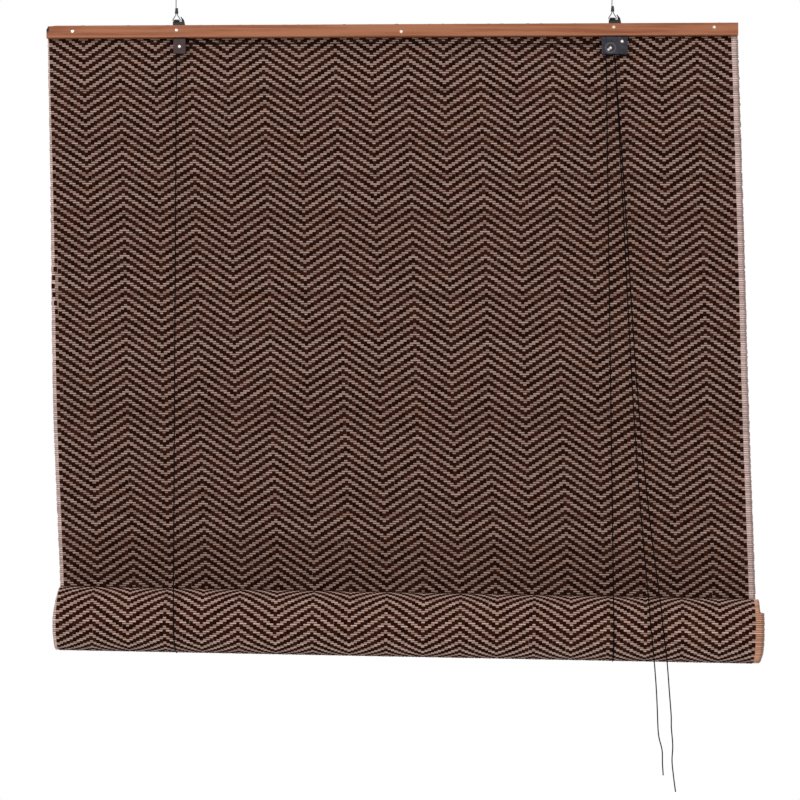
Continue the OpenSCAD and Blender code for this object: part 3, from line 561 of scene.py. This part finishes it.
def soft_materials():
    """Materials of the hanging reeds, the rolled reeds in lighter colours as painted light, the yarn and the
    cords.
    """
    reed = reed_material(
        "split_reed",
        (0.225, 0.131, 0.107),
        (0.33, 0.215, 0.18),
        (0.46, 0.327, 0.279),
        PALE_END,
        PALE_END,
    )
    # Painted light: the roll's reeds take lighter colours than the hanging reeds
    painted_lit_rolled_reed = reed_material(
        "painted_lit_rolled_reed",
        (0.30, 0.173, 0.14),
        (0.445, 0.29, 0.243),
        (0.64, 0.452, 0.378),
        PALE_END,
        TAN_END,
    )
    yarn = yarn_material("dark_brown_yarn", (0.0145, 0.0031, 0.001), (0.044, 0.0128, 0.006))
    cord = cord_material("braided_black_cord", (0.0015, 0.0012, 0.0013), (0.0065, 0.0052, 0.0057))
    return reed, painted_lit_rolled_reed, yarn, cord


def hard_materials():
    """Material of each slot that the frame's own nodes show."""
    return {
        "stained_wood": wood_material(
            "stained_wood",
            (0.205, 0.058, 0.0215),
            (0.29, 0.093, 0.04),
            (0.385, 0.148, 0.074),
        ),
        "bright_steel": bare_metal("bright_steel", (0.72, 0.66, 0.58), (0.95, 0.90, 0.82), 0.25),
        "wire_steel": bare_metal("wire_steel", (0.06, 0.06, 0.062), (0.13, 0.13, 0.135), 0.4),
        "pawl_metal": bare_metal("pawl_metal", (0.22, 0.22, 0.23), (0.36, 0.36, 0.37), 0.35),
        "bracket_metal": painted_metal("bracket_metal", (0.019, 0.0045, 0.0052), (0.052, 0.0165, 0.0185)),
        "lock_metal": lock_material(
            "lock_metal",
            (0.004, 0.0033, 0.007),
            (0.035, 0.031, 0.046),
            # Colours of the painted ring highlight and of the painted glint
            painted_rim_shading=(0.115, 0.11, 0.13, 1),
            glint=(0.75, 0.74, 0.80, 1),
        ),
        "black_metal": painted_metal("black_metal", (0.006, 0.006, 0.0065), (0.018, 0.018, 0.019)),
        "wheel_plastic": plastic_material("wheel_plastic", (0.012, 0.012, 0.013), (0.03, 0.03, 0.032)),
    }


# Mat and roll


def reed_tubes(name, place, lengths, left, right, stations, material):
    """Reeds at lengths along the mat, from the left ends to the right ones."""
    count = len(lengths)
    turn = (np.arange(REED_SIDES) + 0.5) / REED_SIDES * 2 * math.pi
    woven = np.linspace(WEAVE_LEFT, WEAVE_RIGHT, stations - 2 * END_STATIONS)
    inside = np.concatenate([[WEAVE_LEFT - END_BLEND], woven, [WEAVE_RIGHT + END_BLEND]])
    inside = np.broadcast_to(inside, (count, len(inside)))
    u = np.concatenate([left[:, None], inside, right[:, None]], axis=1)
    middle = lengths[:, None] + smooth_noise(count, stations) * REED_WOBBLE
    depth = smooth_noise(count, stations) * REED_WOBBLE
    v = middle[:, :, None] + REED_HALF_HEIGHT * np.sin(turn)
    off = depth[:, :, None] + REED_HALF_DEPTH * np.cos(turn)
    points = place(u[:, :, None], v, off).reshape(-1, 3)
    faces = tube_faces(count, stations, REED_SIDES)
    tone = np.repeat(rng.uniform(0, REED_TONE, count), stations * REED_SIDES)
    # How far each point lies towards a reed's side, for the painted shade in the grooves
    groove = np.tile(np.abs(np.sin(turn)), count * stations)
    station = np.arange(stations)
    at_left = np.tile(np.repeat(station < END_STATIONS, REED_SIDES), count)
    at_right = np.tile(np.repeat(station >= stations - END_STATIONS, REED_SIDES), count)
    tip = np.tile(np.repeat(station == stations - 1, REED_SIDES), count)
    looks = {"tone": tone, "groove": groove, "at_left": at_left, "at_right": at_right, "tip": tip}
    return add_mesh(name, points, faces, material, **looks)


def chevron_shift(yarns):
    """Reeds by which the weave steps up at each yarn, from a valley to a peak and back."""
    place = (yarns - YARNS_LEFT) % (2 * YARNS_PER_SLOPE)
    return np.minimum(place, 2 * YARNS_PER_SLOPE - place)


def yarn_place(yarns):
    """Middle of each yarn, across from the left reed ends."""
    return FRINGE_LEFT + FIRST_VALLEY + (yarns - YARNS_LEFT) * YARN_PITCH


def float_starts(yarns, first_reed, last_reed, on_back):
    """Yarn and first reed of every float on one face of the weave."""
    reeds = np.arange(first_reed, last_reed - REEDS_PER_FLOAT + 1)
    yarn, reed = np.meshgrid(yarns, reeds, indexing="ij")
    phase = (reed + chevron_shift(yarn)) % REEDS_PER_STRIPE
    chosen = phase == (REEDS_PER_FLOAT if on_back else 0)
    return yarn[chosen], reed[chosen]


def slipped(yarns, reeds):
    """Yarn and first reed of floats, with the outermost left yarn moved out where it has slipped."""
    away = (reeds - SLIP_REED) / np.where(reeds < SLIP_REED, SLIP_REEDS_ABOVE, SLIP_REEDS_BELOW)
    slip = SLIP / YARN_PITCH * np.exp(-(away**2))
    return np.where(yarns == 0, yarns - slip, yarns), reeds


def yarn_floats(name, place, yarns, reeds, side, along, rise, across, crown, material):
    """Floats of yarn over pairs of reeds; along and rise give their run, across and crown their section."""
    count = len(yarns)
    width = YARN_WIDTH * rng.uniform(*YARN_WIDTH_SHARES, count)
    centre = yarn_place(yarns) + rng.normal(0, YARN_JITTER, count)
    start = reeds * REED_PITCH + rng.normal(0, YARN_JITTER, count)
    shape = (count, len(along), len(across))
    u = np.broadcast_to(centre[:, None, None] + width[:, None, None] * across, shape)
    v = np.broadcast_to(start[:, None, None] + REED_PITCH * along[:, None], shape)
    height = rise[:, None] * (REED_HALF_DEPTH + YARN_CROWN * crown)
    points = place(u, v, np.broadcast_to(side * height, shape)).reshape(-1, 3)
    faces = grid_faces(count, len(along), len(across))
    if side > 0:
        faces = faces[:, ::-1]
    tone = np.repeat(rng.uniform(0, YARN_TONE, count), len(along) * len(across))
    return add_mesh(name, points, faces, material, tone=tone)


def follow_roll(piece):
    """Hangs a piece from the headrail and gives it a mesh of its own."""
    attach(piece, "headrail")
    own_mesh(piece)


def hanging_mat(reed, yarn):
    """Reeds and yarn between the headrail and the roll."""
    lengths = (np.arange(REEDS_HANGING) + 0.5) * REED_PITCH
    growth = LEFT_GROWTH * np.clip(lengths / MAT_LENGTH / LEFT_GROWTH_SHARE, 0, 1)
    draw = ROLL_DRAW * np.clip((lengths / MAT_LENGTH - 1) / ROLL_DRAW_SHARE + 1, 0, 1)
    left = rng.normal(0, FRINGE_SPREAD, REEDS_HANGING) - growth + draw
    right = MAT_WIDTH + rng.normal(0, FRINGE_SPREAD, REEDS_HANGING) - draw
    made = [reed_tubes("hanging_reeds", on_mat, lengths, left, right, REED_STATIONS, reed)]
    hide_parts("hanging_mat")
    halves = {"left": np.arange(YARNS // 2), "right": np.arange(YARNS // 2, YARNS)}
    for half, yarns in halves.items():
        chosen = slipped(*float_starts(yarns, 0, REEDS_HANGING, False))
        made.append(yarn_floats(f"front_yarn_{half}", on_mat, *chosen, -1, *FULL_RUN, *FULL_SECTION, yarn))
        chosen = slipped(*float_starts(yarns, 0, REEDS_HANGING + 1, True))
        made.append(yarn_floats(f"back_yarn_{half}", on_mat, *chosen, 1, *PLAIN_RUN, *PLAIN_SECTION, yarn))
    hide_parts("hanging_yarn")
    for piece in made:
        follow_roll(piece)


def rolled_mat(reed, yarn):
    """The roll: woven first turn, bare reeds further in and the yarn between the turns."""
    lengths = (np.arange(REEDS_WOUND) + 0.5) * REED_PITCH
    angle, radius = spiral(lengths)
    spare = (ROLL_WIDTH - MAT_WIDTH) / 2
    left = -spare + np.abs(rng.normal(0, FRINGE_SPREAD, REEDS_WOUND))
    right = MAT_WIDTH + spare - np.abs(rng.normal(0, FRINGE_SPREAD, REEDS_WOUND))
    height = -radius * np.sin(angle)
    left += TOP_STEP * np.clip(height / ROLL_RADIUS, 0, 1)
    foot = FOOT_STEP * np.clip(-height / ROLL_RADIUS, 0, 1) ** FOOT_STEP_POWER
    right -= np.where(height > STEP_HEIGHT_SHARE * ROLL_RADIUS, FRINGE_STEP, foot)
    turns = (
        ("roll_outer_reeds", slice(0, REEDS_FIRST_TURN), REED_STATIONS),
        ("roll_inner_reeds", slice(REEDS_FIRST_TURN, REEDS_WOUND), INNER_STATIONS),
    )
    made = []
    for name, part, stations in turns:
        made.append(reed_tubes(name, on_roll, lengths[part], left[part], right[part], stations, reed))
    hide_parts("rolled_mat")
    yarns, reeds = float_starts(np.arange(YARNS), REEDS_HANGING, REEDS_HANGING + REEDS_FIRST_TURN, True)
    run = (yarns, reeds - REEDS_HANGING)
    made.append(yarn_floats("roll_yarn", on_roll, *run, 1, *FULL_RUN, *FULL_SECTION, yarn))
    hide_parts("rolled_yarn")
    s = np.linspace(REED_PITCH, SPIRAL_LENGTH - REED_PITCH, REEDS_WOUND)
    ends = np.array([FRINGE_LEFT, MAT_WIDTH - FRINGE_RIGHT - FRINGE_STEP])
    between = on_roll(ends[None, :], s[:, None], -TURN_PITCH / 2).reshape(-1, 3)
    tone = np.full(len(between), INNER_YARN_TONE)
    made.append(add_mesh("yarn_between_turns", between, grid_faces(1, len(s), len(ends)), yarn, tone=tone))
    for piece in made:
        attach(piece, "roll")


# Cords


def smooth_route(route):
    """Points close together along a soft curve through the points of a route."""
    points = [Vector(p) for p in route]
    padded = [points[0] * 2 - points[1], *points, points[-1] * 2 - points[-2]]
    made = []
    for a, b, c, d in zip(padded, padded[1:], padded[2:], padded[3:]):
        steps = max(2, int((c - b).length / CORD_STEP))
        for k in range(steps):
            t = k / steps
            bend = (2 * a - 5 * b + 4 * c - d) * t * t + (3 * b - a - 3 * c + d) * t**3
            made.append(b + ((c - a) * t + bend) / 2)
    return np.array([*made, points[-1]])


def cord_tube(name, points, side, material, radius=CORD_DIAMETER / 2):
    """Round tube along points, none of whose stretches runs along the side vector."""
    ahead = np.gradient(points, axis=0)
    ahead /= np.linalg.norm(ahead, axis=1)[:, None]
    first = np.cross(ahead, side)
    first /= np.linalg.norm(first, axis=1)[:, None]
    second = np.cross(first, ahead)
    turn = np.arange(CORD_SIDES) / CORD_SIDES * 2 * math.pi
    outward = first[:, None] * np.cos(turn)[:, None] + second[:, None] * np.sin(turn)[:, None]
    length = np.concatenate([[0], np.cumsum(np.linalg.norm(np.diff(points, axis=0), axis=1))])
    braid = np.zeros((len(points), CORD_SIDES, 3))
    braid[:, :, 0] = turn / (2 * math.pi)
    braid[:, :, 1] = length[:, None] / (BRAID_RADII * radius)
    faces = tube_faces(1, len(points), CORD_SIDES)
    place = (points[:, None] + radius * outward).reshape(-1, 3)
    made = add_mesh(name, place, faces, material, braid=braid.reshape(-1, 3))
    return made


def node_line(name):
    """Middles of the upper and the lower end of a straight cord in the frame."""
    points = np.array([v.co for v in frame["nodes"][name].data.vertices])
    top, foot = points[:, 2].max(), points[:, 2].min()
    upper = points[points[:, 2] > top - CORD_DIAMETER / 2]
    lower = points[points[:, 2] < foot + CORD_DIAMETER / 2]
    return (upper.min(0) + upper.max(0)) / 2, (lower.min(0) + lower.max(0)) / 2


def straight(start, end):
    """Points close together on a straight line."""
    steps = max(2, int(np.linalg.norm(end - start) / CORD_STEP))
    return start + (end - start) * np.linspace(0, 1, steps)[:, None]


def point_along(start, end, distance):
    """Point at a distance from the start of a straight line."""
    return start + (end - start) * distance / np.linalg.norm(end - start)


def roll_height(x):
    """Height of the roll's axis at a place along the headrail."""
    return -ROLL_DROP - (x - ROLL_X) * math.tan(ROLL_TILT)


def sling_route(front_foot, back_foot):
    """Points of a cord from the roll's front, under it and up to its back, pressed into the outer turn."""
    centre = np.array([back_foot[0], ROLL_Y + SLING_SHIFT, roll_height(back_foot[0])])
    start = math.atan2(front_foot[2] - centre[2], front_foot[1] - centre[1]) % (2 * math.pi)
    angle = np.linspace(start, 2 * math.pi, SLING_POINTS)
    at_front = np.exp(-(((angle - start) / SLING_BLEND) ** 2))
    at_back = np.exp(-(((2 * math.pi - angle) / SLING_BLEND) ** 2))
    taut = np.maximum(at_front, at_back)
    pressed = ROLL_RADIUS - REED_THICKNESS / 2 + REED_HALF_DEPTH - SLING_SHIFT + SLING_LIFT
    radius = pressed + (back_foot[1] - centre[1] - pressed) * taut
    off = [np.zeros(SLING_POINTS), radius * np.cos(angle), radius * np.sin(angle)]
    return centre + np.stack(off, axis=-1)


def front_ends(hand):
    """Where a front strand leaves its bracket or lock, starts to rise with the roll and touches the roll."""
    top, foot = node_line(f"front_strand_{hand}")
    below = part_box(HOLDERS[hand])[0].z - CORD_BELOW_LOCK
    leave = top + (foot - top) * (top[2] - below) / (top[2] - foot[2])
    return leave, point_along(foot, leave, CORD_ABOVE_ROLL), foot


def trefoil(name, foot, material):
    """Overhand knot that rests on the batten over a cord's upper end."""
    t = np.linspace(0, 2 * math.pi, KNOT_POINTS)
    loop = np.stack([np.sin(t) + 2 * np.sin(2 * t), np.cos(t) - 2 * np.cos(2 * t), -np.sin(3 * t)], axis=-1)
    place = np.array(foot) + (0, 0, KNOT_RADIUS) + loop * KNOT_RADIUS / 3
    return cord_tube(name, place, KNOT_SIDE, material)


def lift_cords(material):
    """Strands in front of and behind the mat, the slings under the roll and the knots over the headrail."""
    for hand in HOLDERS:
        leave, meet, touch = front_ends(hand)
        back_top, back_foot = node_line(f"back_strand_{hand}")
        for face, top, foot in (("front", leave, meet), ("back", back_top, back_foot)):
            strand = cord_tube(f"{face}_cord_{hand}", straight(top, foot), (1, 0, 0), material)
            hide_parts(f"{face}_strand_{hand}")
            follow_roll(strand)
        route = np.concatenate([straight(meet, touch)[:-1], sling_route(touch, back_foot)])
        sling = cord_tube(f"sling_{hand}", route, (1, 0, 0), material)
        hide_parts(f"sling_cord_{hand}")
        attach(sling, "roll")
        knot = trefoil(f"knot_{hand}", back_top, material)
        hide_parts("cord_knots")
        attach(knot, "headrail")


def wheel_arc(wheel, y, radius, start, end):
    """Points of a cord round a wheel of the frame, from one angle to another."""
    low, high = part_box(wheel)
    angle = np.radians(np.linspace(start, end, ARC_POINTS))
    x = (low.x + high.x) / 2 + radius * np.cos(angle)
    z = (low.z + high.z) / 2 + radius * np.sin(angle)
    return np.stack([x, np.full_like(x, y), z], axis=-1)


def middle_y(name):
    """Middle of a node of the frame from front to back."""
    low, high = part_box(name)
    return (low.y + high.y) / 2


def pull_start(wheel_side):
    """Place just below the lock's foot under the end of a cord's arc round the lock's wheel."""
    return np.array((wheel_side[0], wheel_side[1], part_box("lock_housing")[0].z - CORD_BELOW_LOCK))


def wheel_cords(material):
    """Cord along the headrail and the short one over the lock's wheel, down to below bracket and lock."""
    y = middle_y("cross_cord")
    left = wheel_arc("pulley_wheel", y, WHEEL_CORD_RADIUS, 180, 90)
    right = wheel_arc("lock_wheel", y, LOCK_CORD_RADIUS, 90, 0)
    rising = straight(front_ends("left")[0], left[0])[:-1]
    level = straight(left[-1], right[0])[1:-1]
    falling = straight(right[-1], pull_start(right[-1]))[1:]
    route = np.concatenate([rising, left, level, right, falling])
    long = cord_tube("headrail_cord", route, (0, 1, 0), material)
    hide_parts("cross_cord")
    over = wheel_arc("lock_wheel", middle_y("lock_cord"), LOCK_CORD_RADIUS, 180, 0)
    rising = straight(front_ends("right")[0], over[0])[:-1]
    falling = straight(over[-1], pull_start(over[-1]))[1:]
    short = cord_tube("short_lock_cord", np.concatenate([rising, over, falling]), (0, 1, 0), material)
    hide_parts("lock_cord")
    for piece in (long, short):
        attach(piece, "headrail")


def pull_cord(number, material):
    """One pull cord: taut from the lock to the roll's front, then hanging to its bare end."""
    radius = CORD_DIAMETER / 2
    low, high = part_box(f"pull_cord_{number}_upper")
    leave = pull_start((low.x + radius, high.y - radius))
    touch = np.array((high.x - radius, low.y + radius, low.z))
    meet = point_along(touch, leave, CORD_ABOVE_ROLL)
    upper_route = straight(leave, meet)
    share = np.linspace(0, 1, len(upper_route))
    upper_route[:, 0] -= PULL_BOWS[number] * np.sin(math.pi * share**PULL_BOW_POWER)
    upper = cord_tube(f"pull_cord_{number}_above", upper_route, (1, 0, 0), material)
    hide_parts(f"pull_cord_{number}_upper")
    follow_roll(upper)
    low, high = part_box(f"pull_cord_{number}_lower")
    front = low.y + radius
    drop = touch[2] - low.z
    drift = high.x - radius - touch[0]
    hang = [(touch[0] + drift * side, front, touch[2] - drop * down) for side, down in TAIL_SHARES[number]]
    lower_route = smooth_route([meet, touch, *hang])
    lower = cord_tube(f"pull_cord_{number}_below", lower_route, (1, 0, 0), material)
    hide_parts(f"pull_cord_{number}_lower")
    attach(lower, "roll")


# Hard pieces


def paint_frame(materials):
    """Gives each node of the frame that is still shown the material of its slot."""
    slots = {part["node"]: part["material_slot"] for part in frame["record"]["subparts"]}
    for name, shown in frame["nodes"].items():
        if not shown.hide_render:
            shown.data.materials.clear()
            shown.data.materials.append(materials[slots[name]])


# Stage


def seen_directly(tree):
    """1 for rays from the camera and for those mirrored or passed on by the object."""
    path = node(tree, "ShaderNodeLightPath")
    value = path.outputs["Is Camera Ray"]
    for kind in ("Is Glossy Ray", "Is Transmission Ray"):
        either = {0: value, 1: path.outputs[kind]}
        value = node(tree, "ShaderNodeMath", either, operation="MAXIMUM").outputs[0]
    return value


def make_world():
    """White background with soft light from all round."""
    world = bpy.data.worlds.new("studio")
    world.use_nodes = True
    tree = world.node_tree
    light = node(tree, "ShaderNodeBackground", {"Color": (1, 1, 1, 1), "Strength": AMBIENT})
    white = node(tree, "ShaderNodeBackground", {"Color": (1, 1, 1, 1), "Strength": 1.0})
    mixed = node(
        tree,
        "ShaderNodeMixShader",
        {0: seen_directly(tree), 1: light.outputs[0], 2: white.outputs[0]},
    )
    tree.links.new(mixed.outputs[0], tree.nodes["World Output"].inputs["Surface"])
    bpy.context.scene.world = world


def make_floor():
    """Pale floor below the cords, out of the photograph's view."""
    half = FLOOR_SIZE / 2
    corners = [(half * x, half * y, FLOOR_Z) for x, y in ((-1, -1), (1, -1), (1, 1), (-1, 1))]
    material, tree, shader = new_material("pale_floor", Roughness=0.9)
    speck = noise(tree, (40, 40, 40), 2.0)
    tree.links.new(ramp(tree, speck, FLOOR_GREYS), shader.inputs["Base Color"])
    add_mesh("floor", corners, np.array([[0, 1, 2, 3]]), material)


def add_lamp(name, place, watts):
    """Soft square lamp that looks at the blind's middle."""
    data = bpy.data.lights.new(name, "AREA")
    data.size = LAMP_SIZE
    data.energy = watts
    lamp = bpy.data.objects.new(name, data)
    lamp.location = place
    lamp.rotation_mode = "QUATERNION"
    lamp.rotation_quaternion = (Vector(LAMP_AIM) - Vector(place)).to_track_quat("-Z", "Y")
    bpy.context.scene.collection.objects.link(lamp)


def make_camera():
    """Camera at the photograph's place and angle."""
    data = bpy.data.cameras.new("camera")
    data.lens = CAMERA_LENS_MM
    data.sensor_width = CAMERA_SENSOR_MM
    camera = bpy.data.objects.new("camera", data)
    level = math.cos(CAMERA_PITCH)
    ahead = Vector((-math.sin(CAMERA_YAW) * level, math.cos(CAMERA_YAW) * level, math.sin(CAMERA_PITCH)))
    camera.location = CAMERA_PLACE
    camera.rotation_mode = "QUATERNION"
    camera.rotation_quaternion = ahead.to_track_quat("-Z", "Y")
    bpy.context.scene.collection.objects.link(camera)
    bpy.context.scene.camera = camera


def make_stage():
    """World, floor, lamps and camera."""
    bpy.context.scene.view_settings.view_transform = "Standard"
    make_world()
    make_floor()
    for name, (place, watts) in LAMPS.items():
        add_lamp(name, place, watts)
    make_camera()


# The whole scene


reed, painted_lit_rolled_reed, yarn, cord = soft_materials()
hard = hard_materials()
hanging_mat(reed, yarn)
rolled_mat(painted_lit_rolled_reed, yarn)
lift_cords(cord)
wheel_cords(cord)
for number in (1, 2):
    pull_cord(number, cord)
paint_frame(hard)
make_stage()
